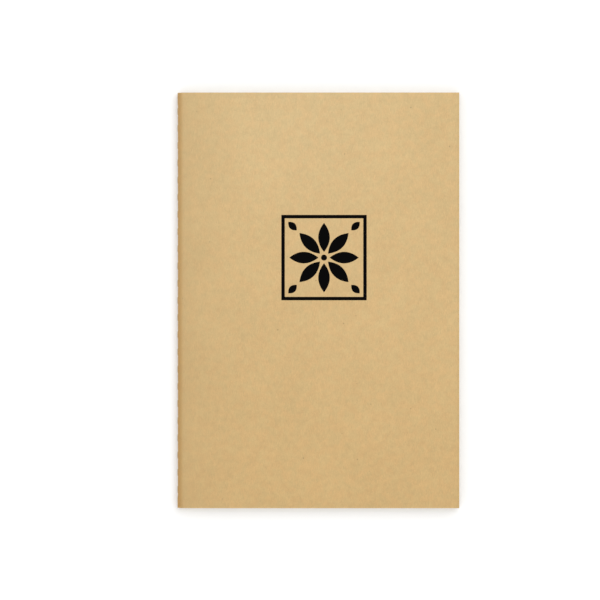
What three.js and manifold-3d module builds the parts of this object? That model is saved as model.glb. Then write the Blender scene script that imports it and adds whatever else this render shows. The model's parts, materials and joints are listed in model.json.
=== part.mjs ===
// Pocket notebook: folded sheets sewn through the fold of a kraft card cover.
// It lies closed on its back cover. +X runs from the spine to the fore edge,
// +Y from the tail to the head, +Z from the back cover to the front cover.
// Both halves of the book are the same shape, one above and one below the
// turning axis, which runs along the spine at half the thickness.

import * as THREE from "three";
import Module from "manifold-3d";

// Overall sizes, in millimetres.
const bookWidth = 95;
const bookHeight = 140;
const sheetCount = 12;

// Card and paper.
const cardThickness = 0.3;
const paperThickness = 0.1;
const airBetween = 0.03;
const middleGap = 0.04;
const coverClearance = 0.04;

// Spine of the cover: a small rolled nose with a valley that the thread lies in.
const noseRadius = 0.8;
const valleySlack = 0.27;
const noseClearance = 0.06;
const foldGap = 0.03;
const shoulderLength = 3;
const shoulderRoll = 0.15;

// Sewing: one running stitch along the spine.
const threadRadius = 0.15;
const threadClearance = 0.03;
const threadSink = 0.03;
const stitchPitch = 2.9;
const sewnMargin = 4;
const stitchSquareness = 2.2;
const slotCrossing = 0.45;
const slotClearance = 0.1;

// Fineness of the curves.
const noseSteps = 16;
const shoulderSteps = 12;
const stepsPerStitch = 6;
const threadSides = 6;

const paperPitch = paperThickness + airBetween;
const halfThickness =
  middleGap / 2 + sheetCount * paperPitch + coverClearance + cardThickness;
const valleyDepth = 2 * threadRadius + threadClearance + threadSink;
const valleyHalfAngle = THREE.MathUtils.radToDeg(
  (threadRadius + valleySlack) / noseRadius,
);
const valleyOuter = noseRadius - valleyDepth;
const valleyInner = valleyOuter - cardThickness;
const threadReach = noseRadius - threadSink;
const shoulderReach = cardThickness + shoulderRoll;
const axisX = threadReach - bookWidth / 2;
const axisZ = halfThickness;
const foreEdge = bookWidth - threadReach;
const freeRadius = noseRadius + noseClearance;

const kraft = new THREE.MeshStandardMaterial({
  color: "#d5b581",
  roughness: 0.85,
  metalness: 0,
});
const cream = new THREE.MeshStandardMaterial({
  color: "#efe8d6",
  roughness: 0.9,
  metalness: 0,
});
const cotton = new THREE.MeshStandardMaterial({
  color: "#e9dcc0",
  roughness: 0.8,
  metalness: 0,
});

const group = new THREE.Group();
group.name = "pocket_notebook";

function addMesh(name, geometry, material) {
  const mesh = new THREE.Mesh(geometry, material);
  mesh.name = name;
  group.add(mesh);
}

// A profile given in the plane across the spine, measured from the turning
// axis, is drawn out to the full height of the book.
function drawnOut(points) {
  const shape = new THREE.Shape(points.map(([x, z]) => new THREE.Vector2(x, z)));
  const geometry = new THREE.ExtrudeGeometry(shape, {
    depth: bookHeight,
    bevelEnabled: false,
  });
  geometry.rotateX(Math.PI / 2);
  geometry.translate(axisX, bookHeight / 2, axisZ);
  return geometry;
}

function flipped(points) {
  return points.map(([x, z]) => [x, -z]).reverse();
}

// Height of an elliptical shoulder above the axis, at a distance from it.
function shoulderHeight(x, reach, height) {
  const across = (shoulderLength - x) / (shoulderLength + reach);
  return height * Math.sqrt(Math.max(0, 1 - across * across));
}

// Distance from the axis at which an elliptical shoulder passes a height.
function shoulderStart(z, reach, height) {
  const up = Math.min(1, z / height);
  return shoulderLength - (shoulderLength + reach) * Math.sqrt(1 - up * up);
}

// One cover: a flat panel whose inner edge rolls down towards the spine.
const innerReach = 0;
const innerHeight = halfThickness - cardThickness;
const innerStart = shoulderStart(freeRadius, innerReach, innerHeight);

function coverProfile() {
  const outer = [];
  const inner = [];
  for (let i = 0; i <= shoulderSteps; i += 1) {
    const part = (i / shoulderSteps) ** 2;
    const outerX = foldGap + (shoulderLength - foldGap) * part;
    outer.push([outerX, shoulderHeight(outerX, shoulderReach, halfThickness)]);
    const innerX = innerStart + (shoulderLength - innerStart) * part;
    inner.push([innerX, shoulderHeight(innerX, innerReach, innerHeight)]);
  }
  outer.push([foreEdge, halfThickness]);
  inner.push([foreEdge, innerHeight]);
  return [...inner, ...outer.reverse()];
}

addMesh("front_cover", drawnOut(coverProfile()), kraft);
addMesh("back_cover", drawnOut(flipped(coverProfile())), kraft);

// The leaves: every folded sheet has a front and a back leaf, which turn
// apart. Sheet 1 lies against the cover and the last sheet in the middle.
const reachHeight = innerHeight - coverClearance / 2;

function leafProfile(fromMiddle) {
  const low = middleGap / 2 + fromMiddle * paperPitch;
  const high = low + paperThickness;
  const start = Math.max(freeRadius, shoulderStart(high, innerReach, reachHeight));
  return [
    [start, low],
    [foreEdge, low],
    [foreEdge, high],
    [start, high],
  ];
}

for (let sheet = 1; sheet <= sheetCount; sheet += 1) {
  const number = String(sheet).padStart(2, "0");
  const profile = leafProfile(sheetCount - sheet);
  addMesh(`sheet_${number}_front_leaf`, drawnOut(profile), cream);
  addMesh(`sheet_${number}_back_leaf`, drawnOut(flipped(profile)), cream);
}

// The spine strip, where the cover card turns around the sewn fold.
function noseReach(degreesFromMiddle) {
  const share = degreesFromMiddle / valleyHalfAngle;
  return noseRadius - valleyDepth * Math.exp(-share * share);
}

function noseProfile() {
  const outer = [];
  const inner = [];
  for (let i = 0; i <= noseSteps; i += 1) {
    const degrees = -90 + (180 * i) / noseSteps;
    const angle = THREE.MathUtils.degToRad(180 - degrees);
    const reach = noseReach(degrees);
    outer.push([reach * Math.cos(angle), reach * Math.sin(angle)]);
    const wall = reach - cardThickness;
    inner.push([wall * Math.cos(angle), wall * Math.sin(angle)]);
  }
  return [...outer, ...inner.reverse()];
}

const outerRun = threadRadius - threadReach;
const innerRun = threadRadius + threadClearance - valleyInner;
const threadMiddle = (outerRun + innerRun) / 2;
const threadSwing = (innerRun - outerRun) / 2;
const stitchCount = Math.floor((bookHeight - 2 * sewnMargin) / stitchPitch);
const sewnLength = stitchCount * stitchPitch;

class RunningStitch extends THREE.Curve {
  getPoint(t, target = new THREE.Vector3()) {
    const wave = Math.sin(Math.PI * stitchCount * t);
    const swing = Math.tanh(stitchSquareness * wave) / Math.tanh(stitchSquareness);
    const x = axisX + threadMiddle - threadSwing * swing;
    return target.set(x, sewnLength * (t - 1 / 2), axisZ);
  }
}

const threadSection = new THREE.Shape();
threadSection.absarc(0, 0, threadRadius, 0, 2 * Math.PI);
addMesh(
  "spine_thread",
  new THREE.ExtrudeGeometry(threadSection, {
    extrudePath: new RunningStitch(),
    steps: stitchCount * stepsPerStitch,
    curveSegments: threadSides / 2,
    bevelEnabled: false,
  }),
  cotton,
);

// Needle slots are cut through the spine strip wherever the thread crosses it.
const solids = await Module();
solids.setup();

function solidFrom(geometry) {
  const plain = geometry.index ? geometry.toNonIndexed() : geometry;
  const corners = plain.attributes.position;
  const mesh = new solids.Mesh({
    numProp: 3,
    vertProperties: new Float32Array(corners.array),
    triVerts: Uint32Array.from({ length: corners.count }, (_, i) => i),
  });
  mesh.merge();
  return new solids.Manifold(mesh);
}

function geometryFrom(solid) {
  const mesh = solid.getMesh();
  const geometry = new THREE.BufferGeometry();
  const points = mesh.vertProperties;
  geometry.setAttribute("position", new THREE.BufferAttribute(points, 3));
  geometry.setIndex(new THREE.BufferAttribute(mesh.triVerts, 1));
  return geometry;
}

const slotLength = slotCrossing * stitchPitch + 2 * threadRadius;
const slotHeight = 2 * (threadRadius + slotClearance);
let spineSolid = solidFrom(drawnOut(noseProfile()));
for (let hole = 0; hole <= stitchCount; hole += 1) {
  const slot = new THREE.CylinderGeometry(1 / 2, 1 / 2, 2 * noseRadius, 8);
  slot.rotateZ(Math.PI / 2);
  slot.scale(1, slotLength, slotHeight);
  const y = hole * stitchPitch - sewnLength / 2;
  slot.translate(axisX + threadMiddle, y, axisZ);
  spineSolid = spineSolid.subtract(solidFrom(slot));
}
addMesh("cover_spine", geometryFrom(spineSolid), kraft);

export default group;
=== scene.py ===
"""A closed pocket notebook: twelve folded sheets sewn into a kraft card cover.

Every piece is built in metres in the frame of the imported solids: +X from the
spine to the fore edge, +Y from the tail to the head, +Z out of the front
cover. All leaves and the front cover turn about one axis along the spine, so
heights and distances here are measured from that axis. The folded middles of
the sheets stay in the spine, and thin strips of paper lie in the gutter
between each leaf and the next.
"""

import json
import logging
import math
from dataclasses import dataclass
from enum import Enum

import bmesh
import bpy
from mathutils import Matrix, Vector


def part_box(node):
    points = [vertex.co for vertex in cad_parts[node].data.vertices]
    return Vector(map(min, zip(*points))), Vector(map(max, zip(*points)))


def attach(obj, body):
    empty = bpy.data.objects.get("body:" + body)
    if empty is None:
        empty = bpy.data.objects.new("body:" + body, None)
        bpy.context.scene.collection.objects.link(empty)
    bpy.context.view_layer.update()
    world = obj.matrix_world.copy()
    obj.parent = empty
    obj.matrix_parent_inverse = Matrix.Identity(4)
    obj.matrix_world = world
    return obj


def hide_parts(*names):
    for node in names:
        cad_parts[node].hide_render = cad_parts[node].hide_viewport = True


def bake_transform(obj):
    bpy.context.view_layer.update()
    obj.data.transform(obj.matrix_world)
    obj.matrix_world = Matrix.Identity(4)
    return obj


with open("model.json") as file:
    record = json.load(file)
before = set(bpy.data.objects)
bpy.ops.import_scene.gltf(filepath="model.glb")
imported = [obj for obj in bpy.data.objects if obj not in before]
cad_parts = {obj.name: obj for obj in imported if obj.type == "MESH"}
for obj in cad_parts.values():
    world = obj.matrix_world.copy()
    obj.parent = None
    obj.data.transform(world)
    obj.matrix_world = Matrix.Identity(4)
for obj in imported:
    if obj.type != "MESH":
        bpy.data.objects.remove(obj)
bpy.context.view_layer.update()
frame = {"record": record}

log = logging.getLogger("notebook")
MM = 0.001
PLAIN = (1.0, 1.0, 1.0, 1.0)
SHARP_ANGLE = math.radians(40)
RIM_ANGLE = math.radians(50)
Socket = bpy.types.NodeSocket
Term = Socket | float | tuple


class Half(Enum):
    """The two halves of the book, as the sign of their height above the axis."""

    FRONT = 1
    BACK = -1

    @property
    def word(self) -> str:
        """The half's name as the solids spell it."""
        return self.name.lower()


class Slot(Enum):
    """The record's material slots."""

    CARD = "kraft_card"
    PAPER = "cream_paper"
    THREAD = "cotton_thread"


def smooth_step(value: float) -> float:
    """Ease a value from 0 to 1, flat at both ends.

    Args:
        value: Any number; it is clamped to 0 and 1 first.

    Returns:
        The eased share.
    """
    share = min(1.0, max(0.0, value))
    return share * share * (3 - 2 * share)


class Graph:
    """A material's node tree, with short ways to add and join its nodes."""

    def __init__(self, name: str) -> None:
        """Start a material with one Principled shader and Object coordinates.

        Args:
            name: The material's name.
        """
        self.material = bpy.data.materials.new(name)
        self.material.use_nodes = True
        self.tree = self.material.node_tree
        self.shader = self.tree.nodes["Principled BSDF"]
        self.place = self.tree.nodes.new("ShaderNodeTexCoord").outputs["Object"]

    def node(
        self, kind: str, inputs: dict | None = None, **settings: str
    ) -> bpy.types.Node:
        """Add a node.

        Args:
            kind: The node's Blender type.
            inputs: A value or an output socket for each input, by name or number.
            settings: Properties of the node itself.

        Returns:
            The new node.
        """
        made = self.tree.nodes.new(kind)
        for key, value in settings.items():
            setattr(made, key, value)
        for key, value in (inputs or {}).items():
            if isinstance(value, Socket):
                self.tree.links.new(value, made.inputs[key])
            else:
                made.inputs[key].default_value = value
        return made

    def math(self, operation: str, *terms: Term) -> Socket:
        """Join up to three terms with one Math operation and return its output."""
        inputs = dict(enumerate(terms))
        return self.node("ShaderNodeMath", inputs, operation=operation).outputs[0]

    def product(self, *terms: Term) -> Socket:
        """Multiply two terms or more, from the first to the last.

        Args:
            terms: Values or outputs.

        Returns:
            The output of the last product.
        """
        made, *others = terms
        for term in others:
            made = self.math("MULTIPLY", made, term)
        return made

    def blended(self, first: Term, second: Term, share: float) -> Socket:
        """Add a share of the first value to the rest of the second."""
        rest = self.product(second, 1 - share)
        return self.math("ADD", self.product(first, share), rest)

    def around_half(self, value: Term, swing: float, base: Term = 0.5) -> Socket:
        """Add a value's distance from one half, times a swing, to a base."""
        return self.math("MULTIPLY_ADD", self.math("SUBTRACT", value, 0.5), swing, base)

    def between(self, value: Term, low: float, high: float) -> Socket:
        """Turn low..high into 0..1, eased and clamped.

        Args:
            value: The value or output to turn.
            low: What becomes 0.
            high: What becomes 1; it may be below low.

        Returns:
            The eased share.
        """
        inputs = {"Value": value, "From Min": low, "From Max": high}
        made = self.node("ShaderNodeMapRange", inputs, interpolation_type="SMOOTHSTEP")
        return made.outputs["Result"]

    def stretched(self, scale: tuple, turn: float = 0.0) -> Socket:
        """Object coordinates stretched along the axes and turned about Z."""
        inputs = {"Vector": self.place, "Rotation": (0, 0, turn), "Scale": scale}
        return self.node("ShaderNodeMapping", inputs).outputs[0]

    def noise(
        self, span: float, detail: float = 2.0, rough: float = 0.5, at: Socket | None = None
    ) -> Socket:
        """Fractal noise.

        Args:
            span: The size of its largest features, in metres.
            detail: Octaves.
            rough: How strong the finer octaves are.
            at: Coordinates, or None for Object coordinates.

        Returns:
            A value near 0.5.
        """
        inputs = {"Vector": at or self.place, "Scale": 1 / span, "Detail": detail}
        inputs["Roughness"] = rough
        return self.node("ShaderNodeTexNoise", inputs).outputs[0]

    def mix(self, share: Term, first: Term, second: Term) -> Socket:
        """Mix two colours."""
        inputs = {0: share, 6: first, 7: second}
        return self.node("ShaderNodeMix", inputs, data_type="RGBA").outputs[2]

    def tinted(self, color: Term, tint: Term) -> Socket:
        """Multiply two colours."""
        kind = {"data_type": "RGBA", "blend_type": "MULTIPLY"}
        return self.node("ShaderNodeMix", {0: 1.0, 6: color, 7: tint}, **kind).outputs[2]

    def tinted_where(self, share: Socket, color: Term, tint: tuple) -> Socket:
        """Multiply a colour by a tint, only as far as the share says."""
        return self.tinted(color, self.mix(share, PLAIN, (*tint, 1)))

    def axes(self) -> tuple[Socket, ...]:
        """The X, Y and Z outputs of the Object coordinates."""
        return tuple(self.node("ShaderNodeSeparateXYZ", {0: self.place}).outputs)

    def bump(
        self, height: Term, depth: float, strength: float, under: Socket | None = None
    ) -> Socket:
        """Raise the surface by a height map.

        Args:
            height: The height, from 0 to 1.
            depth: How far full height stands out, in metres.
            strength: The share of it that shows.
            under: Another bump's output to lay this one on.

        Returns:
            The normal output.
        """
        inputs = {"Height": height, "Distance": depth, "Strength": strength}
        if under is not None:
            inputs["Normal"] = under
        return self.node("ShaderNodeBump", inputs).outputs[0]

    def finish(
        self, color: Socket, rough: Socket, normal: Socket, specular: float
    ) -> bpy.types.Material:
        """Send the maps to the shader.

        Args:
            color: The colour.
            rough: The roughness.
            normal: The last bump.
            specular: The specular level.

        Returns:
            The material.
        """
        maps = {"Base Color": color, "Roughness": rough, "Normal": normal}
        for name, value in maps.items():
            self.tree.links.new(value, self.shader.inputs[name])
        self.shader.inputs["Specular IOR Level"].default_value = specular
        return self.material


def shade(color: tuple, share: float) -> tuple:
    """A linear colour made lighter or darker, with full alpha."""
    return tuple(min(1.0, part * share) for part in color[:3]) + (1.0,)


@dataclass(frozen=True)
class KraftCard:
    """Uncoated brown card: cloudy pulp, short fibres, dark specks, rubbed rims, with painted
    shade towards the fold and painted light towards the head.
    """

    color: tuple = (0.568, 0.396, 0.186)
    lightest: float = 1.14
    darkest: float = 0.86
    cloud_span: float = 16 * MM
    cloud_swing: float = 0.45
    flock_span: float = 2.2 * MM
    flock_swing: float = 0.95
    grain_span: float = 0.45 * MM
    grain_swing: float = 0.8
    grain_depth: float = 0.03 * MM
    fibre_width: float = 0.15 * MM
    fibre_stretch: tuple = (1, 0.1, 0.5)
    fibre_lays: tuple = ((0.3, 1.16), (0.9, 0.84), (1.5, 1.12), (2.1, 0.88), (2.7, 1.14))
    fibre_show: float = 0.55
    fibre_depth: float = 0.012 * MM
    wave_span: float = 35.714 * MM
    wave_depth: float = 0.5 * MM
    pulp_span: float = 3.4 * MM
    pulp_tints: tuple = ((1.014, 0.992, 0.985), (0.986, 1.008, 1.015))
    speck_span: float = 4.5 * MM
    speck_sizes: tuple = (0.075, 0.035)
    speck_choice: tuple = (0.7, 0.8)
    speck_shade: float = 0.42
    # painted light: the card lighter and cooler towards the head, with a painted sheen near
    # the middle of the head, and darker and warmer towards the tail
    tail_shade_tint: tuple = (0.985, 0.952, 0.905)
    head_light_tint: tuple = (1.045, 1.055, 1.085)
    tint_ends: tuple = (-75 * MM, 60 * MM)
    tint_unevenness: float = 20 * MM
    painted_sheen_tint: tuple = (1.075, 1.120, 1.210)
    painted_sheen_center: tuple = (-10 * MM, 72 * MM)
    painted_sheen_radius: float = 60 * MM
    painted_sheen_share: float = 0.8
    # painted shade: the card darker towards the fold, where the cover curves down to the
    # spine, and on the crease and the rolled spine edge, which are partly also the card's
    # darker worn crease
    fold_shades: tuple = ((28 * MM, 0.26), (6 * MM, 0.22))
    fold_shade: float = 0.76
    fold_past: float = 2 * MM
    crease_tint: tuple = (0.89, 0.80, 0.67)
    crease_width: float = 1.6 * MM
    edge_tint: tuple = (0.86, 0.82, 0.70)
    edge_ends: tuple = (0.25 * MM, 0.65 * MM)
    # darker along the fore edge
    fore_tint: tuple = (0.94, 0.92, 0.86)
    fore_width: float = 0.8 * MM
    rub_width: float = 0.7 * MM
    rub_span: float = 1.42857 * MM
    rub_shade: float = 1.2

    def material(self, shape: "BookShape") -> bpy.types.Material:
        """Build the card's material.

        Args:
            shape: The book, which says where the fold and the rims are.

        Returns:
            The material.
        """
        g = Graph("kraft_card")
        along, across, _ = g.axes()
        cloud = g.noise(self.cloud_span, 3)
        flock = g.noise(self.flock_span, 5, 0.6)
        tone = g.around_half(cloud, self.cloud_swing)
        tone = g.around_half(flock, self.flock_swing, tone)
        tone = g.around_half(g.noise(self.grain_span, 3, 0.6), self.grain_swing, tone)
        color = g.mix(tone, shade(self.color, self.darkest), shade(self.color, self.lightest))
        color, fibres = self.fibred(g, color)
        warm, cool = ((*tint, 1) for tint in self.pulp_tints)
        pulp = g.between(g.noise(self.pulp_span, 3, 0.6), 0.38, 0.62)
        color = g.tinted(color, g.mix(pulp, warm, cool))
        color = self.specked(g, color)
        # painted light: lighter towards the head with a painted sheen there, darker towards
        # the tail
        color = g.tinted(color, self.painted_head_light(g, along, across, cloud))
        # painted shade towards the fold and on the spine edge, a darker fore edge, and rubbed
        # lighter ends
        color = self.painted_shade_and_rubbed_rims(g, color, shape, along, across)
        rough = g.math("MULTIPLY_ADD", flock, 0.16, 0.76)
        relief = g.bump(g.noise(self.grain_span, 4, 0.65), self.grain_depth, 0.35)
        relief = g.bump(fibres, self.fibre_depth, 0.5, relief)
        relief = g.bump(g.noise(self.wave_span), self.wave_depth, 0.12, relief)
        return g.finish(color, rough, relief, 0.25)

    def fibred(self, g: Graph, color: Socket) -> tuple[Socket, Socket]:
        """Lay light and dark fibres over the card in a few directions.

        Args:
            g: The material's nodes.
            color: The colour so far.

        Returns:
            The colour, and where the fibres are.
        """
        fibres = 0.0
        for turn, lay in self.fibre_lays:
            at = g.stretched(self.fibre_stretch, turn)
            strand = g.between(g.noise(self.fibre_width, 1.5, 0.4, at), 0.60, 0.70)
            color = g.mix(g.product(strand, self.fibre_show), color, shade(self.color, lay))
            fibres = g.math("MAXIMUM", strand, fibres)
        return color, fibres

    def painted_head_light(self, g: Graph, along: Socket, across: Socket, cloud: Socket) -> Socket:
        """A tint of painted light: the card a little lighter towards the head and darker
        towards the tail, with a painted sheen near the middle of its head.

        Args:
            g: The material's nodes.
            along: Object X.
            across: Object Y.
            cloud: Soft noise that makes the painted light uneven.

        Returns:
            The tint.
        """
        uneven = g.math("MULTIPLY_ADD", cloud, self.tint_unevenness, across)
        height = g.between(uneven, *self.tint_ends)
        tint = g.mix(height, (*self.tail_shade_tint, 1), (*self.head_light_tint, 1))
        # painted sheen: a pale bluish lightening round a point near the middle of the head
        aside = g.math("POWER", g.math("SUBTRACT", along, self.painted_sheen_center[0]), 2)
        above = g.math("POWER", g.math("SUBTRACT", across, self.painted_sheen_center[1]), 2)
        distance = g.math("SQRT", g.math("ADD", aside, above))
        painted_sheen = g.product(g.between(distance, self.painted_sheen_radius, 0), self.painted_sheen_share)
        return g.mix(painted_sheen, tint, (*self.painted_sheen_tint, 1))

    def specked(self, g: Graph, color: Socket) -> Socket:
        """Scatter a few dark bits of bark over the card.

        Args:
            g: The material's nodes.
            color: The colour so far.

        Returns:
            The colour.
        """
        inputs = {"Vector": g.place, "Scale": 1 / self.speck_span}
        cells = g.node("ShaderNodeTexVoronoi", inputs)
        draw = g.node("ShaderNodeSeparateColor", {0: cells.outputs["Color"]}).outputs[0]
        spot = g.between(cells.outputs["Distance"], *self.speck_sizes)
        share = g.product(spot, g.between(draw, *self.speck_choice), 0.5)
        return g.mix(share, color, shade(self.color, self.speck_shade))

    def painted_shade_and_rubbed_rims(
        self, g: Graph, color: Socket, shape: "BookShape", along: Socket, across: Socket
    ) -> Socket:
        """Paint shade on the card towards its fold and on its rolled spine edge, partly also
        its darker worn crease; darken it along the fore edge; and rub its ends lighter.

        Args:
            g: The material's nodes.
            color: The colour so far.
            shape: The book.
            along: Object X.
            across: Object Y.

        Returns:
            The colour.
        """
        # painted shade: darker towards the fold, where the cover curves down to the spine
        for reach, share in self.fold_shades:
            fold = g.between(along, shape.axis_x + reach, shape.axis_x - self.fold_past)
            color = g.mix(g.product(fold, share), color, shade(self.color, self.fold_shade))
        # painted shade on the crease and the rolled spine edge, partly also the card's darker
        # worn crease
        crease = g.between(along, shape.axis_x + self.crease_width, shape.axis_x)
        color = g.tinted_where(crease, color, self.crease_tint)
        edge = g.between(along, *(shape.axis_x - end for end in self.edge_ends))
        color = g.tinted_where(edge, color, self.edge_tint)
        # darker along the fore edge
        fore = g.between(along, shape.fore_x - self.fore_width, shape.fore_x)
        color = g.tinted_where(fore, color, self.fore_tint)
        from_middle = g.math("ABSOLUTE", across)
        ends = g.between(from_middle, shape.half_height - self.rub_width, shape.half_height)
        rubbed = g.between(g.noise(self.rub_span, 3, 0.6), 0.42, 0.6)
        return g.mix(g.product(ends, rubbed, 0.4), color, shade(self.color, self.rub_shade))


@dataclass(frozen=True)
class WritingPaper:
    """Uncoated cream paper with fine pale blue ruling."""

    color: tuple = (0.735, 0.672, 0.535)
    lightest: float = 1.07
    darkest: float = 0.93
    pulp_span: float = 3 * MM
    tooth_span: float = 0.3 * MM
    tooth_depth: float = 0.015 * MM
    layer_span: float = 0.35 * MM
    layer_length: float = 16.6667 * MM
    cut_depth: float = 0.16 * MM
    cut_shade: float = 0.62
    ink: tuple = (0.33, 0.42, 0.52)
    line_gap: float = 6 * MM
    line_width: float = 0.22 * MM
    line_end: float = 0.3 * MM
    head_margin: float = 14 * MM
    tail_margin: float = 8 * MM

    def material(self, shape: "BookShape") -> bpy.types.Material:
        """Build the paper's material.

        Args:
            shape: The book, which says where the page's rims are.

        Returns:
            The material.
        """
        g = Graph("cream_paper")
        along, across, _ = g.axes()
        pulp = g.noise(self.pulp_span, 4, 0.6)
        tooth = g.noise(self.tooth_span, 3, 0.6)
        tone = g.blended(pulp, tooth, 0.6)
        color = g.mix(tone, shade(self.color, self.darkest), shade(self.color, self.lightest))
        cut = self.cut_edge(g, shape, along, across)
        color = g.mix(g.product(cut, 0.5), color, shade(self.color, self.cut_shade))
        patchy = g.math("MULTIPLY_ADD", tooth, 0.4, 0.5)
        line = g.product(self.ruling(g, shape, along, across), patchy)
        color = g.mix(line, color, shade(self.ink, 1))
        rough = g.math("MULTIPLY_ADD", pulp, 0.1, 0.84)
        return g.finish(color, rough, g.bump(tooth, self.tooth_depth, 0.3), 0.3)

    def cut_edge(self, g: Graph, shape: "BookShape", along: Socket, across: Socket) -> Socket:
        """Where the cut rims of the paper are streaked.

        Args:
            g: The material's nodes.
            shape: The book.
            along: Object X.
            across: Object Y.

        Returns:
            1 in a streak, 0 elsewhere.
        """
        scale = (1 / self.layer_length, 1 / self.layer_length, 1 / self.layer_span)
        layers = g.between(g.noise(1, 2, 0.6, g.stretched(scale)), 0.60, 0.42)
        from_middle = g.math("ABSOLUTE", across)
        ends = g.math("GREATER_THAN", from_middle, shape.half_height - self.cut_depth)
        fore = g.math("GREATER_THAN", along, shape.fore_x - self.cut_depth)
        return g.product(g.math("MAXIMUM", ends, fore), layers)

    def ruling(self, g: Graph, shape: "BookShape", along: Socket, across: Socket) -> Socket:
        """Where the ruled lines are.

        Args:
            g: The material's nodes.
            shape: The book.
            along: Object X.
            across: Object Y.

        Returns:
            1 on a line, 0 elsewhere.
        """
        from_head = g.math("SUBTRACT", shape.half_height - self.head_margin, across)
        shifted = g.math("ADD", from_head, self.line_gap / 2)
        share = g.math("FRACT", g.math("DIVIDE", shifted, self.line_gap))
        away = g.math("ABSOLUTE", g.math("SUBTRACT", share, 0.5))
        rim = (self.line_width * 0.75, self.line_width * 0.35)
        line = g.between(g.product(away, self.line_gap), *rim)
        below = g.math("GREATER_THAN", from_head, -self.line_width)
        above = g.math("GREATER_THAN", across, self.tail_margin - shape.half_height)
        inside = g.math("LESS_THAN", along, shape.fore_x - self.line_end)
        return g.product(line, below, above, inside)


@dataclass(frozen=True)
class WaxedThread:
    """Natural cotton sewing thread, waxed, with stray fibres."""

    color: tuple = (0.56, 0.42, 0.24)
    fuzz_span: float = 0.07 * MM
    fuzz_depth: float = 0.02 * MM
    soil_span: float = 6 * MM

    def material(self) -> bpy.types.Material:
        """Build the thread's material.

        Returns:
            The material.
        """
        g = Graph("cotton_thread")
        fuzz = g.noise(self.fuzz_span, 3, 0.6)
        tone = g.blended(fuzz, g.noise(self.soil_span), 0.6)
        color = g.mix(tone, shade(self.color, 0.7), shade(self.color, 1.25))
        rough = g.math("MULTIPLY_ADD", fuzz, 0.25, 0.45)
        return g.finish(color, rough, g.bump(fuzz, self.fuzz_depth, 0.5), 0.4)


@dataclass(frozen=True)
class PrintingInk:
    """Black screen ink, a little thin where the card's tooth shows through."""

    color: tuple = (0.0012, 0.001, 0.001)
    thin_color: tuple = (0.012, 0.008, 0.005)
    tooth_span: float = 0.35 * MM
    tooth_depth: float = 0.02 * MM

    def material(self) -> bpy.types.Material:
        """Build the ink's material.

        Returns:
            The material.
        """
        g = Graph("printing_ink")
        tooth = g.noise(self.tooth_span, 3, 0.7)
        thin = g.product(g.between(tooth, 0.62, 0.8), 0.5)
        color = g.mix(thin, shade(self.color, 1), shade(self.thin_color, 1))
        rough = g.math("MULTIPLY_ADD", tooth, 0.2, 0.5)
        return g.finish(color, rough, g.bump(tooth, self.tooth_depth, 0.3), 0.03)


@dataclass(frozen=True)
class StudioPaper:
    """The plain pale floor."""

    color: tuple = (0.98, 0.98, 0.977)
    grain_span: float = 16.6667 * MM
    grain_depth: float = 0.02 * MM

    def material(self) -> bpy.types.Material:
        """Build the floor's material.

        Returns:
            The material.
        """
        g = Graph("studio_paper")
        grain = g.noise(self.grain_span, 3)
        color = g.mix(grain, shade(self.color, 0.995), shade(self.color, 1.005))
        rough = g.math("MULTIPLY_ADD", grain, 0.05, 0.9)
        return g.finish(color, rough, g.bump(grain, self.grain_depth, 0.05), 0.1)


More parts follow.
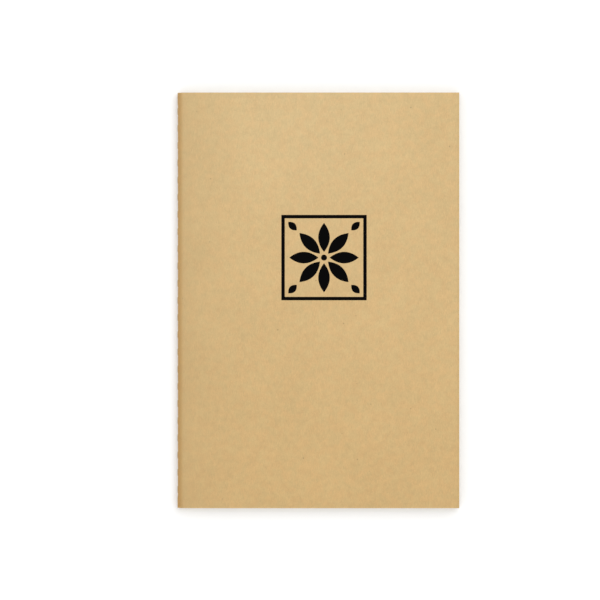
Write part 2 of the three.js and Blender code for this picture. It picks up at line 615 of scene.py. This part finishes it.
@dataclass(frozen=True)
class BookShape:
    """Where the notebook's surfaces lie, measured from the turning axis."""

    axis_x: float
    axis_z: float
    fore_x: float
    half_height: float
    half_thickness: float
    card: float = 0.3 * MM
    pressed: float = 0.33
    press_length: float = 0.7 * MM
    sheets: int = 12
    roll_height: float = 1.3 * MM
    roll_length: float = 1.3 * MM
    roll_reach: float = 0.45 * MM
    rise_length: float = 10 * MM
    rise_power: float = 2.2
    cover_start: float = 0.03 * MM
    root_radius: float = 0.84 * MM
    leaf: float = 0.08 * MM
    packing: float = 0.66
    lift: float = 0.22
    lift_start: float = 5 * MM
    lift_length: float = 30 * MM
    waves: tuple = (40 * MM, 23 * MM)
    air: float = 0.02 * MM
    halvings: int = 30

    @classmethod
    def measured(cls) -> "BookShape":
        """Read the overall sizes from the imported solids.

        Returns:
            The book's shape.
        """
        _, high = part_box("front_cover")
        axis = frame["record"]["behaviour"]["joints"][0]["pos_m"]
        return cls(
            axis_x=axis[0],
            axis_z=axis[2],
            fore_x=high.x,
            half_height=high.y,
            half_thickness=high.z - axis[2],
        )

    @property
    def reach(self) -> float:
        """The distance from the axis to the fore edge."""
        return self.fore_x - self.axis_x

    def point(self, away: float, y: float, height: float) -> Vector:
        """A point, from its distance from the axis and its height above it."""
        return Vector((self.axis_x + away, y, self.axis_z + height))

    def around(self, turn: float, reach: float, y: float) -> Vector:
        """A point, from its angle about the axis and its distance from it."""
        return self.point(reach * math.cos(turn), y, reach * math.sin(turn))

    def outside(self, away: float) -> float:
        """Height of a cover's outer face.

        Args:
            away: Distance from the axis towards the fore edge.

        Returns:
            The height above the axis: a tight roll at the fold, then a slow rise.
        """
        across = max(0.0, self.roll_length - away) / (self.roll_length + self.roll_reach)
        roll = self.roll_height * math.sqrt(max(0.0, 1 - across * across))
        left = max(0.0, 1 - away / self.rise_length)
        return roll + (self.half_thickness - self.roll_height) * (1 - left**self.rise_power)

    def card_here(self, away: float) -> float:
        """Thickness of the cover, pressed thin where it rolls over the fold."""
        return self.card * min(1.0, self.pressed + away / self.press_length)

    def inside(self, away: float) -> float:
        """Height of a cover's inner face."""
        return self.outside(away) - self.card_here(away)

    def leaf_faces(self, leaf: int, away: float, y: float, half: Half) -> tuple[float, float]:
        """Lower and upper face of a leaf, as heights in its own half.

        Args:
            leaf: 0 for the leaf at the middle of the book.
            away: Distance from the axis.
            y: Place along the spine.
            half: The half of the book that the leaf is in.

        Returns:
            Both heights. Leaves lie a little closer together here and there.
        """
        room = (self.inside(away) - 2 * self.air) / self.sheets
        share = (leaf + 0.5) / self.sheets
        loose = smooth_step((away - self.lift_start) / self.lift_length)
        loose *= math.sin(math.pi * share)
        phase = math.tau * leaf / 5 + y / self.waves[1] + away / self.waves[0] + half.value
        middle = self.air + room * (leaf + 0.5 + self.lift * loose * math.sin(phase))
        thick = min(self.leaf, self.packing * room)
        return middle - thick / 2, middle + thick / 2

    def leaf_root(self, leaf: int) -> Vector:
        """Where a leaf begins, on a circle that clears the fold of the cover.

        Args:
            leaf: 0 for the leaf at the middle of the book.

        Returns:
            The distance from the axis and the height of the root.
        """
        near, far = self.cover_start, self.root_radius
        for _ in range(self.halvings):
            away = (near + far) / 2
            height = sum(self.leaf_faces(leaf, away, 0, Half.FRONT)) / 2
            if math.hypot(away, height) < self.root_radius:
                near = away
            else:
                far = away
        return Vector((far, height))


@dataclass
class Piece:
    """A finished mesh and what it stands for.

    node is the solid that it replaces, or None. body is what it rides, or None
    for a strip that lies between two leaves.
    """

    name: str
    node: str | None
    body: str | None
    slot: Slot | None

    def place(
        self, bm: bmesh.types.BMesh, material: bpy.types.Material, smooth: bool = True
    ) -> bpy.types.Object:
        """Turn a bmesh into the piece, riding on its body.

        Args:
            bm: The mesh, in metres, in the row frame. It is freed.
            material: Its finish.
            smooth: Whether faces shade smoothly up to sharp edges.

        Returns:
            The object.
        """
        bmesh.ops.recalc_face_normals(bm, faces=bm.faces[:])
        mesh = bpy.data.meshes.new(self.name)
        bm.to_mesh(mesh)
        bm.free()
        if smooth:
            mesh.shade_smooth()
            mesh.set_sharp_from_angle(angle=SHARP_ANGLE)
        return self.settle(mesh, material)

    def settle(self, mesh: bpy.types.Mesh, material: bpy.types.Material) -> bpy.types.Object:
        """Put a finished mesh in the scene, on its body.

        Args:
            mesh: The mesh, in the row frame.
            material: Its finish.

        Returns:
            The object.
        """
        mesh.materials.clear()
        mesh.materials.append(material)
        made = bpy.data.objects.new(self.name, mesh)
        bpy.context.scene.collection.objects.link(made)
        if self.node:
            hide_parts(self.node)
        if self.body:
            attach(made, self.body)
        body = self.body or "two leaves"
        log.info("%s on %s: %d faces", self.name, body, len(mesh.polygons))
        return made


def sheet_block(columns: int, rows: int) -> bmesh.types.BMesh:
    """A closed block one unit each way, gridded on its two broad faces.

    Args:
        columns: Divisions along X.
        rows: Divisions along Y.

    Returns:
        The block, from 0 to 1 along each axis.
    """
    bm = bmesh.new()
    bmesh.ops.create_grid(bm, x_segments=columns, y_segments=rows, size=0.5)
    raised = bmesh.ops.extrude_face_region(bm, geom=bm.faces[:], use_keep_orig=True)
    corners = [part for part in raised["geom"] if isinstance(part, bmesh.types.BMVert)]
    bmesh.ops.translate(bm, verts=corners, vec=(0, 0, 1))
    bmesh.ops.translate(bm, verts=bm.verts[:], vec=(0.5, 0.5, 0))
    return bm


def eased_rims(bm: bmesh.types.BMesh, width: float) -> None:
    """Round every sharp rim of a sheet by a small width."""
    rims = [edge for edge in bm.edges if edge.calc_face_angle(0) > RIM_ANGLE]
    bmesh.ops.bevel(
        bm, geom=rims, offset=width, segments=2, profile=0.5, affect="EDGES", material=-1
    )


@dataclass
class Cover:
    """The card cover: two panels and the strip around the sewn fold."""

    shape: BookShape
    card: bpy.types.Material
    columns: int = 64
    rows: int = 16
    crowding: float = 2.6
    rim: float = 0.025 * MM
    strip_columns: int = 22
    strip_rows: int = 620
    strip_radius: float = 0.70 * MM
    strip_tuck: float = 0.07 * MM
    strip_card: float = 0.14 * MM
    valley: float = 0.18 * MM
    valley_angle: float = 26.0
    pucker: float = 0.05 * MM
    pucker_length: float = 0.42 * MM
    pucker_angle: float = 42.0
    strip_angle: float = 92.0

    def panel(self, half: Half) -> bpy.types.Object:
        """Build the front or the back cover.

        Args:
            half: Which of the two.

        Returns:
            The panel.
        """
        shape = self.shape
        bm = sheet_block(self.columns, self.rows)
        for corner in bm.verts:
            width = shape.reach - shape.cover_start
            away = shape.cover_start + width * corner.co.x**self.crowding
            y = (2 * corner.co.y - 1) * shape.half_height
            height = shape.outside(away) if corner.co.z > 0.5 else shape.inside(away)
            corner.co = shape.point(away, y, half.value * height)
        bmesh.ops.recalc_face_normals(bm, faces=bm.faces[:])
        eased_rims(bm, self.rim)
        name = f"{half.word}_cover"
        return Piece(f"{name}_card", name, name, Slot.CARD).place(bm, self.card)

    def strip_reach(self, degrees: float, y: float, sewing: "Sewing") -> float:
        """Distance from the axis to the strip's outer face.

        Args:
            degrees: Angle from the middle of the fold.
            y: Place along the spine.
            sewing: The stitches, which pull the card in at every hole.

        Returns:
            The distance.
        """
        share = degrees / self.valley_angle
        dip = self.valley * math.exp(-share * share) * sewing.held(y)
        near = sewing.from_hole(y) / self.pucker_length
        wide = degrees / self.pucker_angle
        pulled = self.pucker * math.exp(-near * near - wide * wide)
        tuck = self.strip_tuck * (degrees / self.strip_angle) ** 2
        return self.strip_radius + tuck - dip - pulled

    def strip(self, sewing: "Sewing") -> bpy.types.Object:
        """Build the strip of card that turns around the fold.

        Args:
            sewing: The stitches, which shape the strip.

        Returns:
            The strip.
        """
        shape = self.shape
        bm = sheet_block(self.strip_columns, self.strip_rows)
        for corner in bm.verts:
            degrees = (2 * corner.co.x - 1) * self.strip_angle
            y = (2 * corner.co.y - 1) * shape.half_height
            reach = self.strip_reach(degrees, y, sewing)
            if corner.co.z < 0.5:
                reach -= self.strip_card
            corner.co = shape.around(math.radians(180 - degrees), reach, y)
        piece = Piece("cover_fold", "cover_spine", "back_cover", Slot.CARD)
        return piece.place(bm, self.card)


@dataclass
class Sewing:
    """One running stitch of three-ply thread through the fold."""

    shape: BookShape
    stitches: int = 45
    pitch: float = 2.9 * MM
    outer_run: float = -0.63 * MM
    inner_run: float = -0.02 * MM
    squareness: float = 2.4
    ply_offset: float = 0.060 * MM
    ply_radius: float = 0.066 * MM
    twist: float = 1.1 * MM
    release: float = 1.5 * MM
    plies: int = 3
    steps: int = 22

    @property
    def half_length(self) -> float:
        """Half the sewn length of the spine."""
        return self.stitches * self.pitch / 2

    def from_hole(self, y: float) -> float:
        """Distance along the spine to the nearest needle hole.

        Args:
            y: Place along the spine.

        Returns:
            The distance.
        """
        along = (y + self.half_length) / self.pitch
        nearest = min(self.stitches, max(0, round(along)))
        return abs(along - nearest) * self.pitch

    def held(self, y: float) -> float:
        """How firmly the thread holds the fold: 1 between the stitches, 0 at the ends."""
        return 1 - smooth_step((abs(y) - self.half_length) / self.release)

    def core(self, share: float) -> Vector:
        """A point of the thread's middle line.

        Args:
            share: The share of the sewn length.

        Returns:
            The point.
        """
        wave = math.tanh(self.squareness * math.sin(math.pi * self.stitches * share))
        swing = wave / math.tanh(self.squareness)
        middle = (self.outer_run + self.inner_run) / 2
        away = middle - (self.inner_run - self.outer_run) / 2 * swing
        y = (2 * share - 1) * self.half_length
        return self.shape.point(away, y, 0)

    def build(self, material: bpy.types.Material) -> bpy.types.Object:
        """Twist the plies along the stitches.

        Args:
            material: The thread's finish.

        Returns:
            The thread.
        """
        curve = bpy.data.curves.new("thread_path", "CURVE")
        curve.dimensions = "3D"
        curve.bevel_depth = self.ply_radius
        curve.bevel_resolution = 1
        curve.use_fill_caps = True
        count = self.stitches * self.steps
        for ply in range(self.plies):
            line = curve.splines.new("POLY")
            line.points.add(count)
            travelled = 0.0
            before = self.core(0)
            for step in range(count + 1):
                here = self.core(step / count)
                ahead = self.core((step + 0.5) / count) - self.core((step - 0.5) / count)
                travelled += (here - before).length
                before = here
                turn = math.tau * (travelled / self.twist + ply / self.plies)
                side = ahead.normalized().cross(Vector((0, 0, 1)))
                out = side * math.cos(turn) + Vector((0, 0, math.sin(turn)))
                line.points[step].co = (*(here + out * self.ply_offset), 1)
        holder = bpy.data.objects.new("thread_path", curve)
        bpy.context.scene.collection.objects.link(holder)
        graph = bpy.context.evaluated_depsgraph_get()
        mesh = bpy.data.meshes.new_from_object(holder.evaluated_get(graph))
        bpy.data.objects.remove(holder)
        mesh.name = "sewing_thread"
        mesh.shade_smooth()
        piece = Piece("sewing_thread", "spine_thread", "back_cover", Slot.THREAD)
        return piece.settle(mesh, material)


@dataclass
class Leaves:
    """The twelve folded sheets: their leaves, folded middles and gutter strips."""

    shape: BookShape
    paper: bpy.types.Material
    columns: int = 30
    rows: int = 24
    crowding: float = 2.4
    trim: float = 0.05 * MM
    trim_phases: tuple = (2.4, 1.7, 4.1)
    fold_columns: int = 28
    fold_rows: int = 40
    fold_layer: tuple = (0.2, 0.6)
    fold_bend: float = 0.7
    loose_height: float = 0.15
    fold_reach: tuple = (0.19 * MM, 0.36 * MM)
    loose_fold_reach: tuple = (0.02 * MM, 0.53 * MM)
    fold_height: tuple = (0.17 * MM, 0.58 * MM)
    fold_middle: float = 0.35 * MM
    fold_radius: float = 0.765 * MM
    steepest_root: float = 60.0
    hinge_radius: float = 0.800 * MM
    hinge_paper: float = 0.014 * MM
    gutter_radii: tuple = (0.7900 * MM, 0.7712 * MM)
    gutter_step: float = 0.0008 * MM
    gutter_paper: float = 0.0005 * MM
    gutter_columns: int = 96

    def leaf(self, sheet: int, half: Half) -> bpy.types.Object:
        """Build one leaf.

        Args:
            sheet: 1 for the sheet against the cover, 12 for the middle one.
            half: The half of the book that the leaf is in.

        Returns:
            The leaf.
        """
        shape = self.shape
        bm = sheet_block(self.columns, self.rows)
        leaf = shape.sheets - sheet
        start = shape.leaf_root(leaf).x
        length, slant, slide = (sheet * phase for phase in self.trim_phases)
        uneven = math.sin(length + half.value) * self.trim
        skew = math.sin(slant + half.value) * self.trim / 2
        shift = math.sin(slide - half.value) * self.trim / 2
        for corner in bm.verts:
            across = 2 * corner.co.y - 1
            y = across * (shape.half_height - self.trim) + shift
            fore = shape.reach - 1.5 * self.trim + uneven / 2 + skew * across
            away = start + (fore - start) * corner.co.x**self.crowding
            low, high = shape.leaf_faces(leaf, away, y, half)
            height = high if corner.co.z > 0.5 else low
            corner.co = shape.point(away, y, half.value * height)
        name = f"sheet_{sheet:02d}_{half.word}"
        node = f"{name}_leaf"
        return Piece(f"{name}_paper", node, node, Slot.PAPER).place(bm, self.paper)

    def fold_point(self, share: float, along: float, held: float) -> Vector:
        """A point on one of the nested folds.

        Args:
            share: 0 for the innermost fold, 1 for the outermost.
            along: -1 at the end towards the back, 0 at the fold, 1 towards the front.
            held: 1 where the thread holds the fold, 0 where it is free.

        Returns:
            The distance from the axis towards the fore edge, and the height.
        """
        inner, outer = (
            free + (tight - free) * held
            for tight, free in zip(self.fold_reach, self.loose_fold_reach)
        )
        reach = inner + (outer - inner) * share
        least = self.fold_height[0] * (self.loose_height + (1 - self.loose_height) * held)
        height = least + (self.fold_height[1] - least) * share
        if abs(along) <= self.fold_bend:
            turn = math.radians(90) * along / self.fold_bend
            away = -reach + (self.fold_middle + reach) * (1 - math.cos(turn))
            return Vector((away, height * math.sin(turn)))
        top = Vector((self.fold_middle, height))
        root = self.shape.leaf_root(share * (self.shape.sheets - 1))
        angle = min(math.atan2(root.y, root.x), math.radians(self.steepest_root))
        end = Vector((math.cos(angle), math.sin(angle))) * self.fold_radius
        point = top.lerp(end, (abs(along) - self.fold_bend) / (1 - self.fold_bend))
        return Vector((point.x, math.copysign(point.y, along)))

    def folds(self, sewing: Sewing) -> bpy.types.Object:
        """Build the folded middles of the sheets, which stay under the cover's fold.

        Args:
            sewing: The stitches, which hold the folds.

        Returns:
            All the folds, as one piece.
        """
        shape = self.shape
        start, thick = self.fold_layer
        together = bmesh.new()
        for sheet in range(shape.sheets):
            bm = sheet_block(self.fold_columns, self.fold_rows)
            for corner in bm.verts:
                y = (2 * corner.co.y - 1) * (shape.half_height - self.trim)
                share = (sheet + start + thick * corner.co.z) / shape.sheets
                point = self.fold_point(share, 2 * corner.co.x - 1, sewing.held(y))
                corner.co = shape.point(point.x, y, point.y)
            bmesh.ops.recalc_face_normals(bm, faces=bm.faces[:])
            part = bpy.data.meshes.new("fold")
            bm.to_mesh(part)
            bm.free()
            together.from_mesh(part)
            bpy.data.meshes.remove(part)
        piece = Piece("sheet_folds", None, "back_cover", Slot.PAPER)
        return piece.place(together, self.paper)

    def joined(
        self, name: str, turns: tuple, radius: float, paper: float
    ) -> bpy.types.Object:
        """Build a strip of paper that joins two leaves in the gutter.

        Args:
            name: The piece's name.
            turns: The angles at which the two leaves begin, seen from the axis.
            radius: Distance from the axis to the strip's inner face.
            paper: The strip's thickness.

        Returns:
            The strip.
        """
        shape = self.shape
        bm = sheet_block(self.gutter_columns, 1)
        top, under = turns
        for corner in bm.verts:
            y = (2 * corner.co.y - 1) * (shape.half_height - self.trim)
            turn = under + (top - under) * corner.co.x
            corner.co = shape.around(turn, radius + paper * corner.co.z, y)
        made = Piece(name, None, None, Slot.PAPER).place(bm, self.paper)
        ends = (shape.around(turn, radius, 0) for turn in turns)
        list(ends)
        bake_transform(made)
        return made

    def gutters(self) -> None:
        """Join every leaf to the next one, so that the book shows paper wherever it opens.

        Every strip has its own radius, so none crosses another where all are open.
        """
        sheets = self.shape.sheets
        for number in range(1, 2 * sheets):
            bodies, turns = [], []
            for leaf in (number, number + 1):
                half = Half.FRONT if leaf <= sheets else Half.BACK
                sheet = leaf if half is Half.FRONT else 2 * sheets + 1 - leaf
                root = self.shape.leaf_root(sheets - sheet)
                bodies.append(f"sheet_{sheet:02d}_{half.word}_leaf")
                turns.append(half.value * math.atan2(root.y, root.x))
            name, paper = f"leaf_{number:02d}_gutter", self.gutter_paper
            radius = self.gutter_radii[number % 2] + self.gutter_step * ((number - 1) // 2)
            if number == sheets:
                name, paper = f"sheet_{sheets}_hinge", self.hinge_paper
                radius = self.hinge_radius
            self.joined(name, turns, radius, paper)

    def build(self, sewing: Sewing) -> None:
        """Build every leaf, the folds and the strips in the gutter.

        Args:
            sewing: The stitches, which hold the folds.
        """
        for half in Half:
            for sheet in range(1, self.shape.sheets + 1):
                self.leaf(sheet, half)
        self.folds(sewing)
        self.gutters()


@dataclass
class CoverPrint:
    """The plain square and flower printed on the front cover."""

    shape: BookShape
    from_fore_edge: float = 45.54 * MM
    above_middle: float = 14.4 * MM
    size: float = 28.76 * MM
    line: float = 1.16 * MM
    petals: int = 8
    petal_ends: tuple = (1.9 * MM, 11.7 * MM)
    petal_width: float = 3.9 * MM
    leaf_ends: tuple = (13.0 * MM, 17.0 * MM)
    leaf_width: float = 2.3 * MM
    petal_corners: int = 64
    dot: float = 1.0 * MM
    dot_corners: int = 48
    film: float = 0.012 * MM
    sunk: float = 0.002 * MM

    def square(self, bm: bmesh.types.BMesh) -> None:
        """Add the square line.

        Args:
            bm: The mesh to add to.
        """
        corners = []
        for side in (self.size, self.size - 2 * self.line):
            rim = bmesh.ops.create_circle(bm, radius=side / math.sqrt(2), segments=4)["verts"]
            corners += rim
        bmesh.ops.rotate(bm, verts=corners, matrix=Matrix.Rotation(math.tau / 8, 3, "Z"))
        bmesh.ops.bridge_loops(bm, edges=bm.edges[:])

    def petal(self, bm: bmesh.types.BMesh, ends: tuple, width: float, turn: float) -> None:
        """Add one filled leaf shape with two tips.

        Args:
            bm: The mesh to add to.
            ends: Distances of its tips from the middle of the figure.
            width: Its greatest width.
            turn: Its direction from the middle.
        """
        rim = bmesh.ops.create_circle(
            bm, cap_ends=True, radius=1, segments=self.petal_corners
        )["verts"]
        for corner in rim:
            corner.co.y = math.copysign(1 - corner.co.x**2, corner.co.y) * width / 2
            corner.co.x = (sum(ends) + corner.co.x * (ends[1] - ends[0])) / 2
        bmesh.ops.rotate(bm, verts=rim, matrix=Matrix.Rotation(turn, 3, "Z"))

    def build(self, material: bpy.types.Material) -> bpy.types.Object:
        """Lay the ink on the cover.

        Args:
            material: The ink's finish.

        Returns:
            The print.
        """
        bm = bmesh.new()
        self.square(bm)
        for number in range(self.petals):
            turn = math.tau * number / self.petals
            self.petal(bm, self.petal_ends, self.petal_width, turn)
            if number % 2:
                self.petal(bm, self.leaf_ends, self.leaf_width, turn)
        bmesh.ops.create_circle(bm, cap_ends=True, radius=self.dot, segments=self.dot_corners)
        flat = bmesh.ops.extrude_face_region(bm, geom=bm.faces[:], use_keep_orig=True)
        raised = [part for part in flat["geom"] if isinstance(part, bmesh.types.BMVert)]
        bmesh.ops.translate(bm, verts=raised, vec=(0, 0, self.film))
        shape = self.shape
        away = shape.reach - self.from_fore_edge
        place = shape.point(away, self.above_middle, shape.half_thickness - self.sunk)
        bmesh.ops.translate(bm, verts=bm.verts[:], vec=place)
        piece = Piece("cover_print", None, "front_cover", None)
        return piece.place(bm, material, smooth=False)


@dataclass
class Studio:
    """A plain pale floor, soft light and the camera straight over the book."""

    shape: BookShape
    distance: float = 1.2
    sensor: float = 36
    frame_width: float = 0.2021
    farthest: float = 20
    aside: tuple = (-6.13 * MM, 0.12 * MM)
    world_light: float = 0.90
    floor_reach: float = 1.2
    floor_gap: float = 0.02 * MM
    horizon_light: float = 1.02
    horizon: tuple = (0.06, 0.14)
    key: tuple = ((0.5, 0.75, 0.95), 6.2, 1.5)
    fill: tuple = ((-0.5, -1.0, 0.55), 2.6, 1.2)

    def floor(self) -> None:
        """Lay the floor."""
        bm = bmesh.new()
        bmesh.ops.create_grid(bm, size=self.floor_reach)
        mesh = bpy.data.meshes.new("floor")
        bm.to_mesh(mesh)
        bm.free()
        mesh.materials.append(StudioPaper().material())
        made = bpy.data.objects.new("floor", mesh)
        made.location.z = -self.floor_gap
        bpy.context.scene.collection.objects.link(made)

    def area(self, name: str, place: tuple, power: float, size: float) -> None:
        """Hang one square soft light that looks at the book.

        Args:
            name: The light's name.
            place: Where it hangs.
            power: Watts.
            size: Its side.
        """
        light = bpy.data.lights.new(name, "AREA")
        light.energy = power
        light.size = size
        made = bpy.data.objects.new(name, light)
        made.location = place
        made.rotation_mode = "QUATERNION"
        made.rotation_quaternion = (-Vector(place)).to_track_quat("-Z", "Y")
        bpy.context.scene.collection.objects.link(made)

    def sky(self) -> None:
        """Set an even sky, brighter along the horizon and below it."""
        world = bpy.data.worlds.new("studio")
        world.use_nodes = True
        tree = world.node_tree
        view = tree.nodes.new("ShaderNodeTexCoord").outputs["Generated"]
        split = tree.nodes.new("ShaderNodeSeparateXYZ")
        fall = tree.nodes.new("ShaderNodeMapRange")
        fall.interpolation_type = "SMOOTHSTEP"
        limits = ("From Min", "From Max", "To Min", "To Max")
        for name, value in zip(limits, (*self.horizon, self.horizon_light, self.world_light)):
            fall.inputs[name].default_value = value
        sky = tree.nodes["Background"]
        sky.inputs["Color"].default_value = PLAIN
        tree.links.new(view, split.inputs[0])
        tree.links.new(split.outputs["Z"], fall.inputs["Value"])
        tree.links.new(fall.outputs[0], sky.inputs["Strength"])
        bpy.context.scene.world = world

    def camera(self) -> None:
        """Set the camera straight above the cover."""
        lens = bpy.data.cameras.new("camera")
        lens.sensor_width = self.sensor
        lens.lens = lens.sensor_width * self.distance / self.frame_width
        lens.clip_end = self.farthest
        made = bpy.data.objects.new("camera", lens)
        top = self.shape.axis_z + self.shape.half_thickness
        made.location = (self.aside[0], self.aside[1], top + self.distance)
        bpy.context.scene.collection.objects.link(made)
        bpy.context.scene.camera = made

    def build(self) -> None:
        """Build the whole studio."""
        self.floor()
        self.sky()
        self.area("key", *self.key)
        self.area("fill", *self.fill)
        self.camera()
        bpy.context.scene.view_settings.view_transform = "Standard"


def main() -> None:
    """Build the notebook and the studio around it."""
    logging.basicConfig(level=logging.INFO, format="%(name)s: %(message)s")
    shape = BookShape.measured()
    card = KraftCard().material(shape)
    sewing = Sewing(shape)
    cover = Cover(shape, card)
    for half in Half:
        cover.panel(half)
    cover.strip(sewing)
    sewing.build(WaxedThread().material())
    Leaves(shape, WritingPaper().material(shape)).build(sewing)
    CoverPrint(shape).build(PrintingInk().material())
    Studio(shape).build()


if __name__ == "__main__":
    main()
